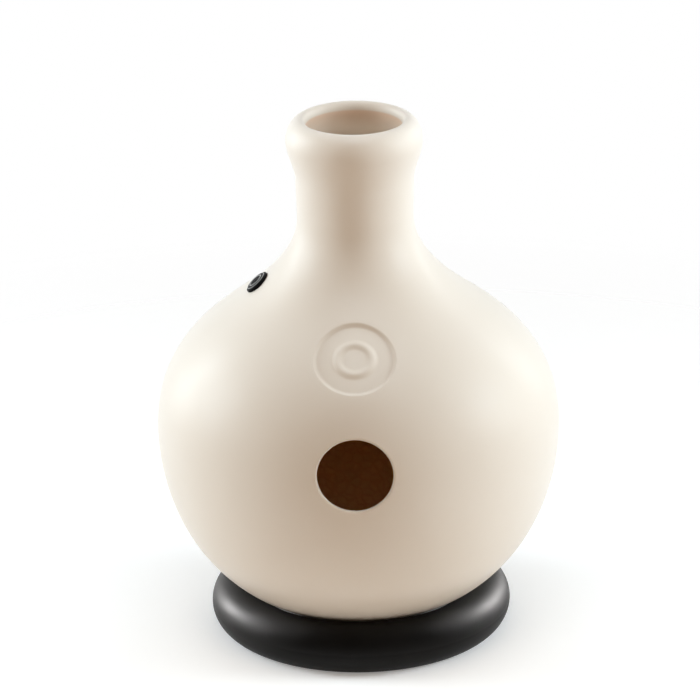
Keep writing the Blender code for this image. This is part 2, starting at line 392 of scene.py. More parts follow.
class NodeTools:
    """Short ways to add and join the nodes of one tree."""

    def __init__(self, tree: bpy.types.NodeTree) -> None:
        """Keep the tree that nodes are added to."""
        self.tree = tree

    def add(self, kind: str, **settings: object) -> bpy.types.Node:
        """Add a node and set its properties.

        Args:
            kind: Blender's node type.
            settings: Properties of the node by name.

        Returns:
            The new node.
        """
        node = self.tree.nodes.new(kind)
        for name, value in settings.items():
            setattr(node, name, value)
        return node

    def feed(self, target: Socket, value: Socket | Colour | float) -> None:
        """Give an input its value.

        Args:
            target: The input.
            value: An output to link to it, or the plain colour or number to set on it.
        """
        if isinstance(value, Socket):
            self.tree.links.new(value, target)
        elif isinstance(value, tuple):
            target.default_value = (*value, 1.0)
        else:
            target.default_value = value

    def fed(self, kind: str, *values: Socket | Colour | float, **settings: object) -> bpy.types.Node:
        """Add a node and give its first inputs their values.

        Args:
            kind: Blender's node type.
            values: Values of the inputs in their order.
            settings: Properties of the node by name.

        Returns:
            The new node.
        """
        node = self.add(kind, **settings)
        for target, value in zip(node.inputs, values):
            self.feed(target, value)
        return node

    def calc(self, operation: str, *values: Socket | float, clamp: bool = False) -> Socket:
        """Add a calculation on up to three values and return its result."""
        return self.fed("ShaderNodeMath", *values, operation=operation, use_clamp=clamp).outputs[0]

    def split(self, vector: Socket) -> bpy.types.NodeOutputs:
        """Return a vector's X, Y and Z."""
        return self.fed("ShaderNodeSeparateXYZ", vector).outputs

    def noise(self, vector: Socket, scale: Socket | float, detail: float) -> Socket:
        """Add a noise texture.

        Args:
            vector: Place on the surface.
            scale: Fineness of the noise.
            detail: Number of finer layers in it.

        Returns:
            The noise's value.
        """
        node = self.add("ShaderNodeTexNoise")
        for name, value in (("Vector", vector), ("Scale", scale), ("Detail", detail)):
            self.feed(node.inputs[name], value)
        return node.outputs["Fac"]

    def ranged(self, value: Socket, start: Range = (0.0, 1.0), end: Range = (0.0, 1.0),
               rise: Rise = Rise.STRAIGHT) -> Socket:
        """Map a value from one range to another, held at its ends.

        Args:
            value: The value.
            start: The range that it comes from.
            end: The range that it goes to.
            rise: How it goes from end to end.

        Returns:
            The mapped value.
        """
        node = self.fed("ShaderNodeMapRange", value, *start, *end, interpolation_type=rise.value)
        return node.outputs["Result"]

    def mixed(self, share: Socket, first: Socket | Colour, second: Socket | Colour) -> Socket:
        """Mix two colours.

        Args:
            share: Share of the second colour.
            first: The first colour.
            second: The second colour.

        Returns:
            The mixed colour.
        """
        node = self.add("ShaderNodeMix", data_type="RGBA")
        for index, value in ((0, share), (6, first), (7, second)):
            self.feed(node.inputs[index], value)
        return node.outputs[2]

    def rays(self, *kinds: str) -> Socket:
        """Tell some kinds of light ray from the rest.

        Args:
            kinds: Outputs of the Light Path node.

        Returns:
            1 for a ray of any of these kinds, else 0.
        """
        path = self.add("ShaderNodeLightPath").outputs
        found = path[kinds[0]]
        for kind in kinds[1:]:
            found = self.calc("MAXIMUM", found, path[kind])
        return found


class EffectGroup:
    """A shader node group under construction, with its tools, its inputs and its outputs."""

    def __init__(self, name: str, inputs: dict[str, float], output: str) -> None:
        """Make the group's sockets.

        Args:
            name: Name of the group.
            inputs: Names and default values of its inputs beside the place.
            output: Name of its output.
        """
        group = bpy.data.node_groups.new(name, "ShaderNodeTree")
        group.interface.new_socket(name="Vector", in_out="INPUT", socket_type="NodeSocketVector")
        for label, value in inputs.items():
            socket = group.interface.new_socket(name=label, in_out="INPUT", socket_type="NodeSocketFloat")
            socket.default_value = value
        group.interface.new_socket(name=output, in_out="OUTPUT", socket_type="NodeSocketFloat")
        self.tools = NodeTools(group)
        self.given = self.tools.add("NodeGroupInput").outputs
        self.result = self.tools.add("NodeGroupOutput").inputs[output]

    def close(self, value: Socket) -> bpy.types.NodeTree:
        """Join the group's result and return the group."""
        self.tools.feed(self.result, value)
        return self.tools.tree


def mottle_group() -> bpy.types.NodeTree:
    """Make the cloudy mask that a hand-sprayed or moulded surface shows.

    Returns:
        A group that turns a place into a soft mask from 0 to 1.
    """
    layers = 3.0
    middle = 0.5
    group = EffectGroup("cloudy_mottle", {"Scale": 10.0, "Softness": 0.3}, "Mask")
    cloud = group.tools.noise(group.given["Vector"], group.given["Scale"], layers)
    centred = group.tools.calc("SUBTRACT", cloud, middle)
    spread = group.tools.calc("DIVIDE", centred, group.given["Softness"])
    return group.close(group.tools.calc("ADD", spread, middle, clamp=True))


def grain_group() -> bpy.types.NodeTree:
    """Make the fine grain of a moulded skin.

    Returns:
        A group that turns a place into a grain height.
    """
    fine_layers = 2.0
    coarse_layers = 1.0
    coarse_scale = 0.22
    group = EffectGroup("fine_grain", {"Scale": 900.0, "Coarse Share": 0.35}, "Height")
    tools, given = group.tools, group.given
    fine = tools.noise(given["Vector"], given["Scale"], fine_layers)
    wider = tools.calc("MULTIPLY", given["Scale"], coarse_scale)
    coarse = tools.noise(given["Vector"], wider, coarse_layers)
    blend = tools.add("ShaderNodeMix", data_type="FLOAT")
    for index, value in ((0, given["Coarse Share"]), (2, fine), (3, coarse)):
        tools.feed(blend.inputs[index], value)
    return group.close(blend.outputs[0])


@dataclass(frozen=True)
class SharedEffects:
    """The node groups that several finishes use."""

    mottle: bpy.types.NodeTree
    grain: bpy.types.NodeTree

    @classmethod
    def build(cls) -> "SharedEffects":
        """Make both groups once."""
        return cls(mottle=mottle_group(), grain=grain_group())


# Finishes


@dataclass(frozen=True)
class Clouds:
    """How fine a cloudy mask is, and how softly its clouds end."""

    scale: float
    softness: float


@dataclass(frozen=True)
class Relief:
    """How strongly a bump shows, and the height of its full step."""

    strength: float
    step: float


@dataclass(frozen=True)
class Grain:
    """How fine a moulded grain is, the share of coarse grain in it, and its relief."""

    scale: float
    coarse_share: float
    relief: Relief


class FinishSheet:
    """A material under construction: its shader, its Object coordinates and its node tools."""

    def __init__(self, name: str, effects: SharedEffects) -> None:
        """Start an empty Principled material.

        Args:
            name: Name of the material.
            effects: The node groups that it may use.
        """
        self.effects = effects
        self.material = bpy.data.materials.new(name)
        self.material.use_nodes = True
        self.tools = NodeTools(self.material.node_tree)
        self.shader = self.material.node_tree.nodes["Principled BSDF"]
        self.place = self.tools.add("ShaderNodeTexCoord").outputs["Object"]

    def feed(self, name: str, value: Socket | float) -> None:
        """Give one of the shader's inputs an output to follow or a plain number."""
        self.tools.feed(self.shader.inputs[name], value)

    def effect(self, group: bpy.types.NodeTree, *values: float) -> Socket:
        """Place a shared effect on the surface, with its values in their order, and return its output."""
        return self.tools.fed("ShaderNodeGroup", self.place, *values, node_tree=group).outputs[0]

    def mask(self, clouds: Clouds) -> Socket:
        """Place the cloudy mottle and return its mask."""
        return self.effect(self.effects.mottle, clouds.scale, clouds.softness)

    def grain(self, grain: Grain, under: Socket | None = None) -> Socket:
        """Place the moulded grain.

        Args:
            grain: Its values.
            under: Normal of a bump that lies under it.

        Returns:
            The normal of the grained surface.
        """
        height = self.effect(self.effects.grain, grain.scale, grain.coarse_share)
        return self.bump(height, grain.relief, under)

    def bump(self, height: Socket, relief: Relief, under: Socket | None = None) -> Socket:
        """Add a bump.

        Args:
            height: Height over the surface, as a share of the relief's step.
            relief: The bump's strength and step.
            under: Normal of another bump that lies under this one.

        Returns:
            The normal of the bumped surface.
        """
        node = self.tools.add("ShaderNodeBump")
        for name, value in (("Strength", relief.strength), ("Distance", relief.step), ("Height", height)):
            self.tools.feed(node.inputs[name], value)
        if under is not None:
            self.tools.feed(node.inputs["Normal"], under)
        return node.outputs["Normal"]


@dataclass(frozen=True)
class GelCoat:
    """Ivory gel coat of the vessel's outside, made a shade lighter from the neck up as painted light."""

    ivory: Colour = (0.81, 0.745, 0.66)
    warm: Colour = (0.785, 0.715, 0.625)
    # painted light: a lighter ivory for the neck and everything above it
    neck: Colour = (0.865, 0.80, 0.715)
    neck_light_rise: Range = (0.315, 0.365)
    roughness: Range = (0.31, 0.39)
    refraction: float = 1.48
    clouds: Clouds = Clouds(9.0, 0.5)
    smears: Clouds = Clouds(26.0, 0.45)
    wave_scale: float = 14.0
    wave_layers: float = 1.0
    wave: Relief = Relief(0.25, 0.0008)
    grain: Grain = Grain(420.0, 0.6, Relief(0.06, 0.0003))

    def material(self, effects: SharedEffects) -> bpy.types.Material:
        """Build the material: faint warm clouds, painted light that lightens the neck, an uneven polish and
        the slight wave of a moulded skin.

        Args:
            effects: The shared node groups.

        Returns:
            The material.
        """
        sheet = FinishSheet("ivory_gel_coat", effects)
        tools = sheet.tools
        body = tools.mixed(sheet.mask(self.clouds), self.ivory, self.warm)
        # painted light: the ivory turns lighter from the neck up
        thin = tools.ranged(tools.split(sheet.place)["Z"], self.neck_light_rise)
        sheet.feed("Base Color", tools.mixed(thin, body, self.neck))
        sheet.feed("Roughness", tools.ranged(sheet.mask(self.smears), end=self.roughness))
        sheet.feed("IOR", self.refraction)
        wave = sheet.bump(tools.noise(sheet.place, self.wave_scale, self.wave_layers), self.wave)
        sheet.feed("Normal", sheet.grain(self.grain, wave))
        return sheet.material


@dataclass(frozen=True)
class RawInside:
    """Inside of the vessel: ivory lip, a smooth pale spray in the neck, raw brown laminate below; the spray
    has painted shade just under the lip and painted light deeper down.
    """

    ivory: Colour = (0.83, 0.765, 0.68)
    # painted shade: the darker tan just under the lip
    lip_shade: Colour = (0.80, 0.60, 0.45)
    # the pale spray's colour, lifted above the gel coat's as painted light deeper in the neck
    spray_cream_and_light: Colour = (1.0, 0.90, 0.78)
    amber: Colour = (0.92, 0.47, 0.12)
    deep: Colour = (0.88, 0.41, 0.10)
    lip_z: float = 0.4330
    lip_edge: float = 0.0008
    # the painted shade under the lip fades out down to this height
    lip_shade_end: float = 0.418
    spray_rise: Range = (0.295, 0.360)
    spray_sway: float = 0.03
    ragged: Clouds = Clouds(32.0, 0.6)
    strand_scale: float = 130.0
    strand_edge: Range = (0.0, 0.25)
    strands: Relief = Relief(0.35, 0.0005)
    roughness: Range = (0.62, 0.34)

    def material(self, effects: SharedEffects) -> bpy.types.Material:
        """Build the material: mat strands in the laminate, pale spray down the neck with painted shade
        under the lip and painted light below it, and the lip's edge.

        Args:
            effects: The shared node groups.

        Returns:
            The material.
        """
        sheet = FinishSheet("raw_inside", effects)
        tools = sheet.tools
        cells = tools.add("ShaderNodeTexVoronoi", feature="DISTANCE_TO_EDGE")
        tools.feed(cells.inputs["Vector"], sheet.place)
        tools.feed(cells.inputs["Scale"], self.strand_scale)
        mat = tools.ranged(cells.outputs["Distance"], self.strand_edge)
        laminate = tools.mixed(mat, self.deep, self.amber)
        height = tools.split(sheet.place)["Z"]
        swayed = tools.calc("MULTIPLY_ADD", sheet.mask(self.ragged), self.spray_sway, height)
        spray = tools.ranged(swayed, self.spray_rise)
        # painted shade under the lip, grading into the lighter cream below, which is partly painted light
        spray_with_light_and_shade = tools.mixed(tools.ranged(height, (self.lip_shade_end, self.lip_z)), self.spray_cream_and_light, self.lip_shade)
        lip = tools.ranged(height, (self.lip_z - self.lip_edge, self.lip_z + self.lip_edge))
        sheet.feed("Base Color", tools.mixed(lip, tools.mixed(spray, laminate, spray_with_light_and_shade), self.ivory))
        sheet.feed("Roughness", tools.ranged(spray, end=self.roughness))
        bare = tools.calc("MULTIPLY", mat, tools.ranged(spray, end=(1.0, 0.0)))
        sheet.feed("Normal", sheet.bump(bare, self.strands))
        return sheet.material


@dataclass(frozen=True)
class SeamLaminate:
    """Glass tape in clear resin, with its plain weave."""

    resin: Colour = (0.42, 0.23, 0.09)
    strand: Colour = (0.55, 0.36, 0.18)
    threads_per_metre: float = 420.0
    weave: Relief = Relief(0.5, 0.0004)
    pools: Clouds = Clouds(40.0, 0.5)
    roughness: Range = (0.25, 0.6)

    def material(self, effects: SharedEffects) -> bpy.types.Material:
        """Build the material: two crossed bands of threads under uneven resin.

        Args:
            effects: The shared node groups.

        Returns:
            The material.
        """
        sheet = FinishSheet("seam_laminate", effects)
        tools = sheet.tools
        bands = []
        for direction in ("Y", "Z"):
            band = tools.add("ShaderNodeTexWave", bands_direction=direction)
            tools.feed(band.inputs["Vector"], sheet.place)
            tools.feed(band.inputs["Scale"], self.threads_per_metre / FULL_TURN)
            bands.append(band.outputs["Fac"])
        weave = tools.calc("MULTIPLY", *bands)
        sheet.feed("Base Color", tools.mixed(weave, self.resin, self.strand))
        sheet.feed("Roughness", tools.ranged(sheet.mask(self.pools), end=self.roughness))
        sheet.feed("Normal", sheet.bump(weave, self.weave))
        return sheet.material


@dataclass(frozen=True)
class SatinRubber:
    """Black moulded rubber of the ring stand."""

    black: Colour = (0.003, 0.0028, 0.0026)
    bloom: Colour = (0.006, 0.0056, 0.0053)
    clouds: Clouds = Clouds(22.0, 0.5)
    roughness: Range = (0.46, 0.55)
    refraction: float = 1.24
    grain: Grain = Grain(700.0, 0.3, Relief(0.10, 0.0004))

    def material(self, effects: SharedEffects) -> bpy.types.Material:
        """Build the material: a faint grey bloom, an uneven satin gloss and a fine moulded grain.

        Args:
            effects: The shared node groups.

        Returns:
            The material.
        """
        sheet = FinishSheet("satin_rubber", effects)
        tools = sheet.tools
        clouds = sheet.mask(self.clouds)
        sheet.feed("Base Color", tools.mixed(clouds, self.black, self.bloom))
        sheet.feed("Roughness", tools.ranged(clouds, end=self.roughness))
        sheet.feed("IOR", self.refraction)
        sheet.feed("Normal", sheet.grain(self.grain))
        return sheet.material


@dataclass(frozen=True)
class BadgePlastic:
    """Black moulded plastic of the badge, with grey painted highlights and a lower roughness along its
    raised edges.
    """

    name: str
    # painted highlight: the grey laid on the raised edges
    highlight_grey: Colour
    black: Colour = (0.002, 0.002, 0.002)
    roughness: Range = (0.5, 0.25)
    refraction: float = 1.2
    # fine random mask that breaks up the painted highlights
    highlight_breaks: Clouds = Clouds(900.0, 0.6)
    highlight_strength: Range = (0.7, 1.0)
    grain: Grain = Grain(2200.0, 0.4, Relief(0.2, 0.0002))

    def material(self, effects: SharedEffects) -> bpy.types.Material:
        """Build the material: a fine grain, and painted highlights on the edges that the mesh marks.

        Args:
            effects: The shared node groups.

        Returns:
            The material.
        """
        sheet = FinishSheet(self.name, effects)
        tools = sheet.tools
        edges = tools.add("ShaderNodeAttribute", attribute_name=HIGHLIGHT_MARK).outputs["Fac"]
        # painted highlights on the marked edges, broken up by the random mask
        edge_light = tools.calc("MULTIPLY", edges, tools.ranged(sheet.mask(self.highlight_breaks), end=self.highlight_strength))
        sheet.feed("Base Color", tools.mixed(edge_light, self.black, self.highlight_grey))
        sheet.feed("Roughness", tools.ranged(edge_light, end=self.roughness))
        sheet.feed("IOR", self.refraction)
        sheet.feed("Normal", sheet.grain(self.grain))
        return sheet.material


# The vessel


@dataclass(frozen=True)
class VesselShape:
    """Sizes of the vessel's turned wall; heights count from the centre of its round body."""

    body_radius: float
    crest_z: float
    wall: float = 0.0045
    bottom_depth: float = 0.1638
    bottom_pull: float = 0.1174
    equator_pull_down: float = 0.0782
    equator_pull_up: float = 0.0559
    shoulder_radius: float = 0.1025
    shoulder_height: float = 0.1041
    shoulder_lean: float = math.radians(54.4)
    shoulder_pull_down: float = 0.0347
    shoulder_pull_up: float = 0.0311
    waist_radius: float = 0.0474
    waist_height: float = 0.1783
    waist_pull: float = 0.0297
    neck_top_radius: float = 0.0482
    neck_top_height: float = 0.2127
    bead_radius: float = 0.0557
    bead_height: float = 0.2434
    bead_pull_down: float = 0.0068
    bead_pull_up: float = 0.0079
    crest_radius: float = 0.0428
    crest_height: float = 0.2619
    mouth_radius: float = 0.0402
    rim_radius: float = 0.0393
    rim_rounding: float = 0.0070
    curve_steps: int = 400

    @classmethod
    def from_frame(cls) -> "VesselShape":
        """Take the body's width and the drum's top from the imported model."""
        low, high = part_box("rear_shell")
        return cls(body_radius=(high.x - low.x) / 2.0, crest_z=high.z)

    @property
    def centre_z(self) -> float:
        """World height of the round body's centre."""
        return self.crest_z - self.crest_height

    def outer_line(self) -> np.ndarray:
        """Draw the outside.

        Returns:
            The line from the bottom pole to the lip's crest.
        """
        steps = self.curve_steps
        up = np.array((0.0, 1.0))
        bottom = np.array((0.0, -self.bottom_depth))
        equator = np.array((self.body_radius, 0.0))
        shoulder = np.array((self.shoulder_radius, self.shoulder_height))
        run = np.array((-math.sin(self.shoulder_lean), math.cos(self.shoulder_lean)))
        waist = np.array((self.waist_radius, self.waist_height))
        neck_top = np.array((self.neck_top_radius, self.neck_top_height))
        bead = np.array((self.bead_radius, self.bead_height))
        third = up * (self.neck_top_height - self.waist_height) / 3.0
        bottom_pull = bottom + (self.bottom_pull, 0.0)
        shoulder_pull = shoulder - run * self.shoulder_pull_down
        flare_pull = shoulder + run * self.shoulder_pull_up
        bead_pull = neck_top + up * self.bead_pull_down
        lip = arc((self.crest_radius, self.bead_height), self.bead_radius - self.crest_radius,
                  self.crest_height - self.bead_height, 0.0, math.pi / 2, steps)
        parts = [
            bottom[None, :],
            bezier(bottom, bottom_pull, equator - up * self.equator_pull_down, equator, steps),
            bezier(equator, equator + up * self.equator_pull_up, shoulder_pull, shoulder, steps),
            bezier(shoulder, flare_pull, waist - up * self.waist_pull, waist, steps),
            bezier(waist, waist + third, neck_top - third, neck_top, steps),
            bezier(neck_top, bead_pull, bead - up * self.bead_pull_up, bead, steps),
            lip[1:],
        ]
        return np.vstack(parts) + (0.0, self.centre_z)

    def lining(self, depth: float) -> np.ndarray:
        """Move the outside inwards.

        Args:
            depth: How far inside the outer face.

        Returns:
            A line from the bottom pole to the top of the straight neck.
        """
        outside = self.outer_line()
        outside = outside[outside[:, 1] <= self.centre_z + self.neck_top_height + MERGE_DISTANCE]
        run = np.gradient(outside, axis=0)
        inward = np.stack([-run[:, 1], run[:, 0]], axis=1)
        inside = outside + inward / np.linalg.norm(inward, axis=1)[:, None] * depth
        inside[0] = outside[0] + (0.0, depth)
        return inside

    def inner_line(self) -> np.ndarray:
        """Draw the inside.

        Returns:
            The line from the bottom pole to the lip's crest.
        """
        inside = self.lining(self.wall)
        mouth_foot = np.array((self.mouth_radius, self.centre_z + self.bead_height))
        third = np.array((0.0, (mouth_foot[1] - inside[-1, 1]) / 3.0))
        flare = bezier(inside[-1], inside[-1] + third, mouth_foot - third, mouth_foot, self.curve_steps)
        rim_centre = (self.crest_radius, self.crest_z - self.rim_rounding)
        rim = arc(rim_centre, self.crest_radius - self.rim_radius, self.rim_rounding, math.pi, math.pi / 2,
                  self.curve_steps)
        rise = np.array((0.0, (rim[0, 1] - mouth_foot[1]) / 3.0))
        mouth = bezier(mouth_foot, mouth_foot + rise, rim[0] - rise, rim[0], self.curve_steps)
        return np.vstack([inside, flare, mouth, rim[1:]])


@dataclass(frozen=True)
class RoundWindow:
    """A round place on the vessel where the net of faces is bent into rings."""

    seat: Matrix
    half_width: float
    half_height: float
    cells_across: int
    cells_up: int
    reach: float = 1.5


@dataclass
class Vessel:
    """The moulded drum body with its side hole and its front dish."""

    shape: VesselShape
    turn_steps: int = 192
    body_spacing: float = 0.0044
    neck_spacing: float = 0.0026
    hole_width: float = 0.061
    hole_height: float = 0.058
    hole_latitude: float = math.radians(5.6)
    hole_cells: int = 6
    hole_rounding: float = 0.0024
    hole_rim_steps: int = 5
    hole_back_rounding: float = 0.0012
    hole_back_steps: int = 2
    dish_radius: float = 0.0340
    dish_height: float = 0.0974
    dish_depth: float = 0.0023
    dish_wall: float = 0.0042
    dish_cells_across: int = 9
    dish_cells_up: int = 8
    band_radius: float = 0.0140
    band_half_width: float = 0.0052
    band_rise: float = 0.0016
    ring_spacing: float = 0.0008
    rim_tolerance: float = 0.0005
    oval_tolerance: float = 0.001

    def __post_init__(self) -> None:
        """Work out both skins and the places of the hole and the dish."""
        self.lines = {Skin.OUTER: self.shape.outer_line(), Skin.INNER: self.shape.inner_line()}
        self.surfaces = {skin: TurnedSurface(line) for skin, line in self.lines.items()}
        self.hole = RoundWindow(self.aim_from_centre(self.hole_latitude), self.hole_width / 2.0,
                                self.hole_height / 2.0, self.hole_cells, self.hole_cells)
        dish_seat = self.surfaces[Skin.OUTER].frame_at(self.shape.centre_z + self.dish_height, 0.0)
        self.dish = RoundWindow(dish_seat, self.dish_radius, self.dish_radius, self.dish_cells_across,
                                self.dish_cells_up)

    def aim_from_centre(self, latitude: float) -> Matrix:
        """Return the frame on the front of the round body whose Z points straight out of its centre.

        Args:
            latitude: Angle above the horizon in radians.

        Returns:
            A matrix placed on the body's outside.
        """
        aim = Matrix.Rotation(math.pi / 2 - latitude, 4, "X")
        seat = Matrix.Translation((0.0, 0.0, self.shape.centre_z)) @ aim
        return seat @ Matrix.Translation((0.0, 0.0, self.shape.body_radius))

    def skin_points(self, skin: Skin) -> np.ndarray:
        """Space out the points that a skin's net is turned from, closer together in the neck.

        Args:
            skin: Which face of the wall.

        Returns:
            The points from the bottom pole to the lip's crest.
        """
        line = self.lines[skin]
        split = self.shape.centre_z + self.shape.waist_height
        body = even_spacing(line[line[:, 1] <= split], self.body_spacing)
        neck = even_spacing(line[line[:, 1] >= split], self.neck_spacing)
        return np.vstack([body, neck[1:]])

    def turn_skin(self, skin: Skin, finish: bpy.types.Material) -> bpy.types.Object:
        """Draw and turn one skin.

        Args:
            skin: Which face of the wall.
            finish: Its finish.

        Returns:
            The skin's open net.
        """
        net = draw_line(f"vessel_{skin.value}", self.skin_points(skin))
        spin_line(net, self.turn_steps)
        net.data.materials.append(finish)
        return net

    def bend_net(self, net: bpy.types.Object, skin: Skin, window: RoundWindow) -> np.ndarray:
        """Bend a skin's net so that a square of its cells becomes a round window.

        Args:
            net: The skin.
            skin: Which face of the wall it is.
            window: The window's place, and its size in metres and in cells.

        Returns:
            For each vertex, its share of the window's half size: below 1 inside, 1 on its edge.
        """
        places = vertex_places(net)
        heights = self.skin_points(skin)[:, 1]
        around = np.rint(np.arctan2(places[:, 0], -places[:, 1]) / (FULL_TURN / self.turn_steps))
        along = np.searchsorted((heights[1:] + heights[:-1]) / 2.0, places[:, 2])
        middle = np.argmin(np.abs(heights - window.seat.translation.z))
        across = around / window.cells_across
        up = (along - middle) / window.cells_up
        share = np.maximum(np.abs(across), np.abs(up))
        moved = (share >= 1.0) & (share < window.reach)

        origin, axis_u, axis_v, axis_out = seat_axes(window.seat)
        flat = places[moved] - origin
        straight = np.stack([flat @ axis_u, flat @ axis_v], axis=1)
        side = across[moved] / share[moved]
        climb = up[moved] / share[moved]
        round_side = side * np.sqrt(1.0 - climb * climb / 2.0)
        round_climb = climb * np.sqrt(1.0 - side * side / 2.0)
        ring = np.stack([round_side, round_climb], axis=1)
        ring *= share[moved][:, None] * (window.half_width, window.half_height)
        blend = smooth_step((share[moved] - 1.0) / (window.reach - 1.0))[:, None]
        spot = ring * (1.0 - blend) + straight * blend
        flat_places = origin + spot[:, :1] * axis_u + spot[:, 1:] * axis_v
        places[moved] = self.surfaces[skin].drop(flat_places, axis_out)
        set_vertex_places(net, places)
        return share

    def cut_window(self, net: bpy.types.Object, share: np.ndarray) -> None:
        """Delete the faces inside a window.

        Args:
            net: The skin.
            share: What bend_net returned for it.
        """
        select_in_edit(net, share < 1.0 - MERGE_DISTANCE, Element.VERTEX)
        bpy.ops.mesh.delete(type="VERT")
        bpy.ops.object.mode_set(mode="OBJECT")

    def dish_relief(self, radius: float) -> float:
        """Work out the dish's depth: a soft wall, an even floor and a plain raised ring.

        Args:
            radius: Distance from the dish's middle.

        Returns:
            The depth there.
        """
        wall = float(smooth_step(np.array((self.dish_radius - radius) / self.dish_wall)))
        off_band = min(1.0, abs(radius - self.band_radius) / self.band_half_width)
        band = 0.5 + 0.5 * math.cos(math.pi * off_band)
        return self.dish_depth * wall - self.band_rise * band

    def fill_dish(self, net: bpy.types.Object) -> None:
        """Extrude the dish's rim inwards ring by ring down its relief, and close the middle.

        Args:
            net: The outer skin, with the dish's window cut.
        """
        origin, axis_u, axis_v, axis_out = seat_axes(self.dish.seat)
        flat = vertex_places(net) - origin
        on_rim = np.abs(np.hypot(flat @ axis_u, flat @ axis_v) - self.dish_radius) < self.rim_tolerance
        select_in_edit(net, on_rim, Element.VERTEX)
        rim = bmesh.from_edit_mesh(net.data)
        for corner in rim.verts:
            corner.select_set(corner.select and corner.is_boundary)
        rim.select_flush_mode()
        bmesh.update_edit_mesh(net.data)
        bpy.ops.mesh.select_mode(type="EDGE")
        rings = round(self.dish_radius / self.ring_spacing)
        for radius in np.linspace(self.dish_radius, 0.0, rings + 1)[1:-1]:
            bpy.ops.mesh.extrude_edges_move(TRANSFORM_OT_translate={"value": (0.0, 0.0, 0.0)})
            loop = bmesh.from_edit_mesh(net.data)
            corners = [corner for corner in loop.verts if corner.select]
            flat = np.array([corner.co for corner in corners]) - origin
            angle = np.arctan2(flat @ axis_v, flat @ axis_u)
            spot = origin + radius * (np.cos(angle)[:, None] * axis_u + np.sin(angle)[:, None] * axis_v)
            wall = self.surfaces[Skin.OUTER].drop(spot, axis_out)
            for corner, place in zip(corners, wall - axis_out * self.dish_relief(float(radius))):
                corner.co = place
            bmesh.update_edit_mesh(net.data)
        bpy.ops.mesh.merge(type="CENTER")
        bpy.ops.object.mode_set(mode="OBJECT")

    def close_wall(self, outer: bpy.types.Object, inner: bpy.types.Object) -> bpy.types.Object:
        """Join both skins at the lip and bridge them through the hole.

        Args:
            outer: The outer skin.
            inner: The inner skin.

        Returns:
            The closed wall.
        """
        make_active(outer)
        inner.select_set(True)
        bpy.ops.object.join()
        outer.name = VESSEL
        outer.data.name = VESSEL
        bpy.ops.object.mode_set(mode="EDIT")
        bpy.ops.mesh.select_all(action="SELECT")
        bpy.ops.mesh.remove_doubles(threshold=MERGE_DISTANCE)
        bpy.ops.mesh.select_mode(type="EDGE")
        bpy.ops.mesh.select_all(action="DESELECT")
        bpy.ops.mesh.select_non_manifold(use_wire=False, use_multi_face=False, use_non_contiguous=False,
                                         use_verts=False)
        bpy.ops.mesh.bridge_edge_loops()
        close_faces()
        return outer

    def round_hole_rim(self, body: bpy.types.Object, skin: Skin, rounding: float, steps: int) -> None:
        """Bevel the hole's rim on one skin.

        Args:
            body: The closed wall.
            skin: Which face of the wall.
            rounding: Width of the bevel.
            steps: Steps in the bevel.
        """
        origin, axis_u, axis_v, _ = seat_axes(self.hole.seat)
        places = vertex_places(body)
        flat = places - origin
        oval = np.hypot(flat @ axis_u / self.hole.half_width, flat @ axis_v / self.hole.half_height)
        on_oval = (np.abs(oval - 1.0) < self.oval_tolerance) & (places[:, 1] < 0.0)
        off_skin = np.abs(np.hypot(places[:, 0], places[:, 1]) - self.surfaces[skin].radius(places[:, 2]))
        on_rim = on_oval & (off_skin < self.rim_tolerance)
        select_in_edit(body, on_rim[edge_ends(body)].all(axis=1), Element.EDGE)
        bpy.ops.mesh.bevel(offset=rounding, segments=steps, affect="EDGES")
        bpy.ops.object.mode_set(mode="OBJECT")

    def build(self, coat: bpy.types.Material, inside: bpy.types.Material) -> bpy.types.Object:
        """Model the vessel and dress it.

        Args:
            coat: Finish of the outside.
            inside: Finish of the inside.

        Returns:
            The finished vessel.
        """
        outer = self.turn_skin(Skin.OUTER, coat)
        hole_share = self.bend_net(outer, Skin.OUTER, self.hole)
        self.cut_window(outer, np.minimum(hole_share, self.bend_net(outer, Skin.OUTER, self.dish)))
        self.fill_dish(outer)
        inner = self.turn_skin(Skin.INNER, inside)
        self.cut_window(inner, self.bend_net(inner, Skin.INNER, self.hole))
        body = self.close_wall(outer, inner)
        self.round_hole_rim(body, Skin.OUTER, self.hole_rounding, self.hole_rim_steps)
        self.round_hole_rim(body, Skin.INNER, self.hole_back_rounding, self.hole_back_steps)
        even_normals(body)
        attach(body, "drum")
        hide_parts("front_shell", "rear_shell")
        return body


# The seam tape inside


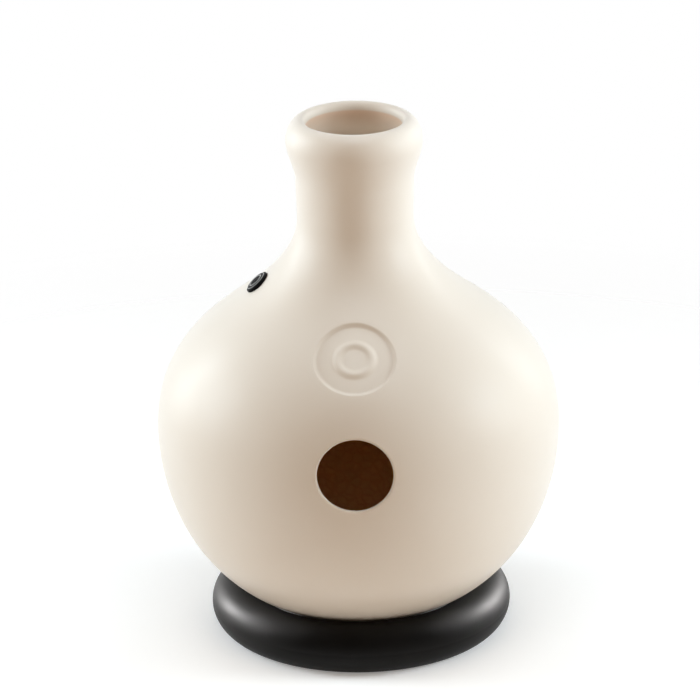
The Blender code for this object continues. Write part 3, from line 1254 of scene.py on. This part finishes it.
@dataclass
class SeamTape:
    """Glass tape laminated inside over the seam, down one side, under the bottom and up the other."""

    vessel: Vessel
    half_width: float = 0.020
    thickness: float = 0.0012
    gap: float = 0.0006
    top_height: float = 0.208
    bowl_height: float = -0.08
    spacing: float = 0.005
    strips: int = 8

    def lining(self) -> np.ndarray:
        """Draw the line that the tape's outer face follows, a glue gap inside the wall.

        Returns:
            The line from the bottom pole to the tape's end.
        """
        shape = self.vessel.shape
        line = shape.lining(shape.wall + self.gap)
        return line[line[:, 1] <= shape.centre_z + self.top_height]

    def laid_on_wall(self, places: np.ndarray) -> np.ndarray:
        """Press the strip against the wall: from above in the bowl, from the side higher up.

        Args:
            places: The flat strip's places.

        Returns:
            The places on the wall.
        """
        line = self.lining()
        lower = line[line[:, 1] <= self.vessel.shape.centre_z]
        laid = places.copy()
        bowl = places[:, 2] <= self.vessel.shape.centre_z + self.bowl_height
        laid[bowl, 2] = np.interp(np.hypot(places[bowl, 0], places[bowl, 1]), lower[:, 0], lower[:, 1])
        upper = places[~bowl]
        radius = TurnedSurface(line).radius(upper[:, 2])
        laid[~bowl, 0] = np.sign(upper[:, 0]) * np.sqrt(radius**2 - upper[:, 1] ** 2)
        return laid

    def faces_in(self, tape: bpy.types.Object) -> bool:
        """Return True if the strip's faces point into the chamber."""
        face = min(tape.data.polygons, key=lambda item: item.center.z)
        return face.normal.z > 0.0

    def build(self, finish: bpy.types.Material) -> bpy.types.Object:
        """Model the tape as a strip laid along the inside and thickened.

        Args:
            finish: Its laminate.

        Returns:
            The finished tape.
        """
        line = even_spacing(self.lining(), self.spacing)
        mirrored = line[:0:-1] * (-1.0, 1.0)
        tape = draw_line("seam_tape_strip", np.vstack([mirrored, line]))
        bpy.ops.transform.translate(value=(0.0, -self.half_width, 0.0))
        step = (0.0, 2.0 * self.half_width / self.strips, 0.0)
        for _ in range(self.strips):
            bpy.ops.mesh.extrude_region_move(TRANSFORM_OT_translate={"value": step})
        bpy.ops.mesh.select_all(action="SELECT")
        bpy.ops.mesh.normals_make_consistent(inside=False)
        bpy.ops.object.mode_set(mode="OBJECT")
        set_vertex_places(tape, self.laid_on_wall(vertex_places(tape)))
        wall = tape.modifiers.new("tape_thickness", "SOLIDIFY")
        wall.thickness = self.thickness
        wall.offset = 1.0 if self.faces_in(tape) else -1.0
        apply_modifiers(tape)
        tape.data.materials.append(finish)
        even_normals(tape)
        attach(tape, "drum")
        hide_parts("seam_tape")
        return tape


# The badge


@dataclass
class Badge:
    """The round badge on the shoulder: a rimmed base and the plain disc set in it.

    The disc's boss and ring are given as shares of its radius.
    """

    vessel: Vessel
    height: float = 0.1219
    azimuth: float = math.radians(-87.9)
    radius: float = 0.0108
    thickness: float = 0.0024
    gap: float = 0.0006
    bond_gap: float = 0.0001
    chamfer_width: float = 0.0020
    chamfer_height: float = 0.0011
    edge_rounding: float = 0.0002
    # width of the painted highlight down the chamfer
    highlight_width: float = 0.0006
    rim_width: float = 0.0007
    pocket_depth: float = 0.0010
    inlay_gap: float = 0.0003
    inlay_crown: float = 0.0003
    groove_depth: float = 0.0004
    boss_top: float = 0.24
    boss_foot: float = 0.32
    ring_foot: float = 0.56
    ring_top: float = 0.64
    # the painted highlight on the disc's ring runs between these two shares
    highlight_from: float = 0.72
    highlight_to: float = 0.78
    ring_top_end: float = 0.86
    ring_foot_end: float = 0.93
    steps: int = 96

    def seat(self) -> Matrix:
        """Find the badge's place on the shoulder.

        Returns:
            A frame with Z out of the drum.
        """
        shoulder = self.vessel.surfaces[Skin.OUTER]
        place = shoulder.frame_at(self.vessel.shape.centre_z + self.height, self.azimuth)
        return place @ Matrix.Translation((0.0, 0.0, self.gap))

    @property
    def pocket_radius(self) -> float:
        """Radius of the pocket that the disc sits in."""
        return self.radius - self.chamfer_width - self.rim_width

    @property
    def pocket_floor(self) -> float:
        """Height of the pocket's floor over the base's underside."""
        return self.thickness - self.pocket_depth

    def base_line(self) -> np.ndarray:
        """Draw the base's half section, from the pocket to the underside.

        Returns:
            Points as radius, height and share of painted highlight.
        """
        soft = self.edge_rounding
        top_radius = self.radius - self.chamfer_width
        wall_top = self.thickness - self.chamfer_height
        slope = self.chamfer_height / self.chamfer_width
        return np.array([
            (0.0, self.pocket_floor, 0.0),
            (self.pocket_radius - soft, self.pocket_floor, 0.0),
            (self.pocket_radius, self.pocket_floor + soft, 0.0),
            (self.pocket_radius, self.thickness - soft, 0.0),
            (self.pocket_radius + soft, self.thickness, 0.0),
            # the chamfer's top edge carries the painted highlight
            (top_radius - soft, self.thickness, 1.0),
            (top_radius + soft, self.thickness - soft * slope, 1.0),
            (top_radius + self.highlight_width, self.thickness - self.highlight_width * slope, 0.0),
            (self.radius - soft, wall_top + soft * slope, 0.0),
            (self.radius, wall_top - soft, 0.0),
            (self.radius, 0.0, 0.0),
            (self.radius - soft, 0.0, 0.0),
            (0.0, 0.0, 0.0),
        ])

    def disc_line(self) -> np.ndarray:
        """Draw the disc's half section: a boss and a ring on a sunk field.

        Returns:
            Points as radius, height and share of painted highlight.
        """
        radius = self.pocket_radius - self.inlay_gap
        crown = self.thickness + self.inlay_crown
        field = crown - self.groove_depth
        floor = self.pocket_floor + self.inlay_gap
        return np.array([
            (0.0, crown, 0.0),
            (radius * self.boss_top, crown, 0.0),
            (radius * self.boss_foot, field, 0.0),
            (radius * self.ring_foot, field, 0.0),
            (radius * self.ring_top, crown, 0.0),
            # the ring's crown carries the painted highlight
            (radius * self.highlight_from, crown, 1.0),
            (radius * self.highlight_to, crown, 1.0),
            (radius * self.ring_top_end, crown, 0.0),
            (radius * self.ring_foot_end, field, 0.0),
            (radius, field, 0.0),
            (radius, floor, 0.0),
            (0.0, floor, 0.0),
        ])

    def turn_piece(self, name: str, line: np.ndarray, finish: bpy.types.Material) -> bpy.types.Object:
        """Turn a section, mark the edges that get painted highlights and set it in its place.

        Args:
            name: Name of the piece.
            line: Its section as radius, height and share of painted highlight.
            finish: Its plastic.

        Returns:
            The piece on the shoulder.
        """
        piece = draw_line(name, line[:, :2])
        spin_line(piece, self.steps)
        places = vertex_places(piece)
        flat = np.stack([np.hypot(places[:, 0], places[:, 1]), places[:, 2]], axis=1)
        nearest = np.argmin(np.linalg.norm(flat[:, None] - line[None, :, :2], axis=2), axis=1)
        # marks the painted highlights for the material
        share = piece.data.attributes.new(HIGHLIGHT_MARK, "FLOAT", "POINT")
        share.data.foreach_set("value", line[nearest, 2])
        piece.data.materials.append(finish)
        seat_piece(piece, self.seat())
        return piece

    def bond_to_shoulder(self, base: bpy.types.Object) -> None:
        """Bring the base's underside down to the curved shoulder, less a thin bond.

        Args:
            base: The base in its place.
        """
        origin, _, _, out = seat_axes(self.seat())
        places = vertex_places(base)
        under = (places - origin) @ out < self.edge_rounding / 2.0
        places[under] = self.vessel.surfaces[Skin.OUTER].drop(places[under], out) + out * self.bond_gap
        set_vertex_places(base, places)

    def build(self, base_finish: bpy.types.Material,
              inlay_finish: bpy.types.Material) -> list[bpy.types.Object]:
        """Model both pieces and dress them.

        Args:
            base_finish: Finish of the rimmed base.
            inlay_finish: Finish of the disc.

        Returns:
            The base and the disc.
        """
        base = self.turn_piece("badge_base_moulding", self.base_line(), base_finish)
        self.bond_to_shoulder(base)
        disc = self.turn_piece("badge_inlay_disc", self.disc_line(), inlay_finish)
        for piece, node, slot in ((base, "badge_base", "badge"), (disc, "badge_inlay", "inlay")):
            even_normals(piece)
            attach(piece, "drum")
            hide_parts(node)
        return [base, disc]


# The ring stand


@dataclass
class RingStand:
    """The soft moulded ring: round in section, flat underneath and pressed in where the body sits."""

    vessel: Vessel
    centre_radius: float = 0.1033
    parting_z: float = 0.0196
    half_width: float = 0.0206
    half_height: float = 0.0211
    seat_gap: float = 0.0006
    groove_depth: float = 0.0005
    groove_half_width: float = 0.0007
    spacing: float = 0.0022
    curve_steps: int = 400
    turn_steps: int = 192

    def pressed_in(self, line: np.ndarray) -> np.ndarray:
        """Push the points of a line that come too near the body back towards the section's centre.

        Args:
            line: Points of the section.

        Returns:
            The points, none nearer to the body than the seat's gap.
        """
        body = self.vessel.lines[Skin.OUTER]
        run = np.gradient(body, axis=0)
        outward = np.stack([run[:, 1], -run[:, 0]], axis=1) / np.linalg.norm(run, axis=1)[:, None]
        nearest = np.argmin(np.linalg.norm(line[:, None] - body[None], axis=2), axis=1)
        clear = np.sum((line - body[nearest]) * outward[nearest], axis=1)
        inwards = np.array((self.centre_radius, self.parting_z)) - line
        inwards /= np.linalg.norm(inwards, axis=1)[:, None]
        return line + inwards * np.maximum(0.0, self.seat_gap - clear)[:, None]

    def section(self) -> np.ndarray:
        """Draw the ring's closed section, with the mould's parting groove.

        Returns:
            The section's points from its outer foot over the top to its inner foot.
        """
        centre = (self.centre_radius, self.parting_z)
        foot = math.asin(self.parting_z / self.half_height)
        groove = self.groove_half_width / self.half_height
        lower = arc(centre, self.half_width, self.half_height, -foot, -groove, self.curve_steps)
        upper = arc(centre, self.half_width, self.half_height, groove, math.pi + foot, self.curve_steps)
        lower[0, 1] = 0.0
        upper[-1, 1] = 0.0
        return np.vstack([
            even_spacing(lower, self.spacing),
            [(self.centre_radius + self.half_width - self.groove_depth, self.parting_z)],
            even_spacing(self.pressed_in(upper), self.spacing),
        ])

    def build(self, finish: bpy.types.Material) -> bpy.types.Object:
        """Model the ring by turning its section, and dress it.

        Args:
            finish: Its rubber.

        Returns:
            The finished ring.
        """
        ring = draw_line(RING, self.section(), closed=True)
        spin_line(ring, self.turn_steps)
        ring.data.materials.append(finish)
        even_normals(ring)
        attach(ring, "stand")
        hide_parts("stand_ring")
        return ring


# The studio


@dataclass(frozen=True)
class CameraStand:
    """Where the camera stands and how it looks, as solved from the photograph's outline."""

    target_z: float
    distance: float = 4.29
    azimuth: float = math.radians(1.2)
    elevation: float = math.radians(21.782)
    pitch: float = math.radians(21.013)
    yaw: float = math.radians(-0.087)
    roll: float = math.radians(-0.92)
    focal_pixels: float = 5210.4
    frame_pixels: float = 700.0
    sensor_width: float = 36.0
    sight: float = 60.0

    def build(self) -> bpy.types.Object:
        """Add the camera and make it the scene's own.

        Returns:
            The camera.
        """
        lens = bpy.data.cameras.new("camera")
        lens.sensor_width = self.sensor_width
        lens.lens = self.focal_pixels / self.frame_pixels * self.sensor_width
        lens.clip_end = self.sight
        camera = bpy.data.objects.new("camera", lens)
        bpy.context.scene.collection.objects.link(camera)
        back = Vector((0.0, -math.cos(self.elevation), math.sin(self.elevation)))
        level = math.cos(self.pitch)
        ahead = Vector((math.sin(self.yaw) * level, math.cos(self.yaw) * level, -math.sin(self.pitch)))
        right = ahead.cross(UP).normalized()
        up = right.cross(ahead)
        rolled_right = right * math.cos(self.roll) + up * math.sin(self.roll)
        rolled_up = up * math.cos(self.roll) - right * math.sin(self.roll)
        stand = Matrix((rolled_right, rolled_up, -ahead)).transposed().to_4x4()
        stand.translation = back * self.distance
        lifted = Matrix.Translation((0.0, 0.0, self.target_z))
        camera.matrix_world = lifted @ Matrix.Rotation(self.azimuth, 4, "Z") @ stand
        bpy.context.scene.camera = camera
        return camera


@dataclass(frozen=True)
class SoftBox:
    """A studio lamp whose face fades towards its edges.

    It may light one piece alone, and give only soft light or only a highlight.
    """

    name: str
    azimuth: float
    elevation: float
    power: float
    width: float
    height: float
    distance: float = 1.5
    aim: Colour = (0.0, 0.0, 0.45)
    spread: float = math.pi
    edge_share: float = 0.4
    tint: Colour = (0.90, 1.04, 1.13)
    only_on: str | None = None
    glow: Glow = Glow.ALL

    def build(self) -> bpy.types.Object:
        """Add the lamp, facing what it is aimed at.

        Returns:
            The lamp.
        """
        data = bpy.data.lights.new(self.name, "AREA")
        data.shape = "RECTANGLE"
        data.size = self.width
        data.size_y = self.height
        data.energy = self.power
        data.color = self.tint
        data.spread = self.spread
        self.soften(data)
        lamp = bpy.data.objects.new(self.name, data)
        bpy.context.scene.collection.objects.link(lamp)
        flat = math.cos(self.elevation) * self.distance
        offset = Vector((math.sin(self.azimuth) * flat, -math.cos(self.azimuth) * flat, 0.0))
        offset.z = math.sin(self.elevation) * self.distance
        turn = (-offset).to_track_quat("-Z", "Y").to_matrix().to_4x4()
        lamp.matrix_world = Matrix.Translation(offset + Vector(self.aim)) @ turn
        lamp.visible_glossy = self.glow is not Glow.SOFT
        lamp.visible_diffuse = self.glow is not Glow.SHINE
        if self.only_on is not None:
            lit = bpy.data.collections.new(f"{self.name}_lights")
            lit.objects.link(bpy.data.objects[self.only_on])
            lamp.light_linking.receiver_collection = lit
        return lamp

    def soften(self, data: bpy.types.Light) -> None:
        """Let the lamp's light fade towards its four edges.

        Args:
            data: The lamp's data.
        """
        middle = 0.5
        data.use_nodes = True
        tools = NodeTools(data.node_tree)
        face = tools.split(tools.add("ShaderNodeNewGeometry").outputs["Parametric"])
        fades = []
        for axis in ("X", "Y"):
            away = tools.calc("ABSOLUTE", tools.calc("SUBTRACT", face[axis], middle))
            fades.append(tools.ranged(away, (middle, middle - self.edge_share), rise=Rise.SOFT))
        tools.feed(data.node_tree.nodes["Emission"].inputs["Strength"], tools.calc("MULTIPLY", *fades))


@dataclass
class Studio:
    """White floor, soft lamps on both sides and overhead, and a surround that is white behind the drum.

    The side lamps give only soft light. The tall highlights on the vessel come from two lamps of their own,
    and so do the small ones on the ring.
    """

    floor_half: float = 3.0
    floor_white: Colour = (0.92, 0.92, 0.92)
    bounce: Colour = (0.88, 0.80, 0.73)
    floor_fade: Range = (0.35, 0.95)
    floor_lift: float = 0.22
    back_fill: Colour = (0.30, 0.30, 0.30)
    front_fill: Colour = (0.415, 0.30, 0.208)
    front_shine: Colour = (0.03, 0.02, 0.013)
    back_rise: Range = (-0.25, 0.35)
    lamps: tuple[SoftBox, ...] = (
        SoftBox("left_lamp", azimuth=math.radians(-95.0), elevation=math.radians(11.0), power=51.5,
                width=1.2, height=1.45, glow=Glow.SOFT),
        SoftBox("right_lamp", azimuth=math.radians(87.0), elevation=math.radians(11.0), power=54.0,
                width=1.2, height=1.45, glow=Glow.SOFT),
        SoftBox("left_shine_lamp", azimuth=math.radians(-118.0), elevation=math.radians(6.0), power=9.5,
                width=0.6, height=1.45, edge_share=0.3, only_on=VESSEL, glow=Glow.SHINE),
        SoftBox("right_shine_lamp", azimuth=math.radians(126.0), elevation=math.radians(11.0), power=6.0,
                width=0.6, height=1.45, only_on=VESSEL, glow=Glow.SHINE),
        SoftBox("top_lamp", azimuth=0.0, elevation=math.radians(75.0), power=15.5, width=1.4, height=1.4),
        SoftBox("left_ring_lamp", azimuth=math.radians(-120.0), elevation=math.radians(17.0), power=0.85,
                width=0.32, height=0.32, distance=0.5, aim=(-0.099, -0.057, 0.03),
                spread=math.radians(20.0), tint=(1.0, 0.98, 0.97), only_on=RING),
        SoftBox("right_ring_lamp", azimuth=math.radians(129.0), elevation=math.radians(18.0), power=0.82,
                width=0.32, height=0.32, distance=0.5, aim=(0.099, -0.050, 0.03),
                spread=math.radians(20.0), tint=(1.0, 0.97, 0.96), only_on=RING),
    )

    def floor_material(self) -> bpy.types.Material:
        """Build the floor's material: matt white that fades out into the surround.

        Returns:
            The material.
        """
        material = bpy.data.materials.new("white_floor")
        material.use_nodes = True
        material.node_tree.nodes.clear()
        tools = NodeTools(material.node_tree)
        place = tools.add("ShaderNodeTexCoord").outputs["Object"]
        reach = tools.fed("ShaderNodeVectorMath", place, operation="LENGTH").outputs["Value"]
        shown = tools.rays("Is Camera Ray", "Is Glossy Ray", "Is Transmission Ray")
        matt = tools.fed("ShaderNodeBsdfDiffuse", tools.mixed(shown, self.bounce, self.floor_white))
        lift = tools.fed("ShaderNodeEmission", WHITE, tools.ranged(shown, end=(0.0, self.floor_lift)))
        lit = tools.fed("ShaderNodeAddShader", matt.outputs[0], lift.outputs[0])
        clear = tools.add("ShaderNodeBsdfTransparent")
        fade = tools.ranged(reach, self.floor_fade)
        faded = tools.fed("ShaderNodeMixShader", fade, lit.outputs[0], clear.outputs[0])
        tools.fed("ShaderNodeOutputMaterial", faded.outputs[0])
        return material

    def build_floor(self) -> bpy.types.Object:
        """Add the floor, which keeps the drum's shadow.

        Returns:
            The floor.
        """
        deselect_all()
        bpy.ops.mesh.primitive_plane_add(size=2.0 * self.floor_half)
        floor = bpy.context.object
        floor.name = "studio_floor"
        floor.data.materials.append(self.floor_material())
        return floor

    def build_surround(self) -> None:
        """Set the world: a white background behind the drum and a dim warm room on the camera's side."""
        world = bpy.data.worlds.new("pale_surround")
        world.use_nodes = True
        bpy.context.scene.world = world
        tools = NodeTools(world.node_tree)
        sky = world.node_tree.nodes["Background"]
        shiny = tools.rays("Is Glossy Ray", "Is Transmission Ray")
        back = tools.mixed(shiny, self.back_fill, WHITE)
        front = tools.mixed(shiny, self.front_fill, self.front_shine)
        direction = tools.split(tools.add("ShaderNodeTexCoord").outputs["Generated"])
        room = tools.mixed(tools.ranged(direction["Y"], self.back_rise), front, back)
        tools.feed(sky.inputs["Color"], tools.mixed(tools.rays("Is Camera Ray"), room, WHITE))
        tools.feed(sky.inputs["Strength"], 1.0)

    def build(self, target_z: float) -> None:
        """Build the whole studio.

        Args:
            target_z: Height that the camera's place is measured from.
        """
        self.build_floor()
        self.build_surround()
        for lamp in self.lamps:
            lamp.build()
        CameraStand(target_z).build()
        bpy.context.scene.view_settings.view_transform = "Standard"


def main() -> None:
    """Build the drum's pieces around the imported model, dress them and light them."""
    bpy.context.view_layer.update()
    effects = SharedEffects.build()
    shape = VesselShape.from_frame()
    vessel = Vessel(shape)
    pieces = [vessel.build(GelCoat().material(effects), RawInside().material(effects))]
    pieces.append(SeamTape(vessel).build(SeamLaminate().material(effects)))
    # the grey of each piece's painted edge highlights
    base_finish = BadgePlastic("badge_black", highlight_grey=(0.42, 0.42, 0.40))
    inlay_finish = BadgePlastic("badge_disc", highlight_grey=(0.50, 0.50, 0.48))
    pieces += Badge(vessel).build(base_finish.material(effects), inlay_finish.material(effects))
    pieces.append(RingStand(vessel).build(SatinRubber().material(effects)))
    Studio().build(shape.centre_z)


if __name__ == "__main__":
    main()
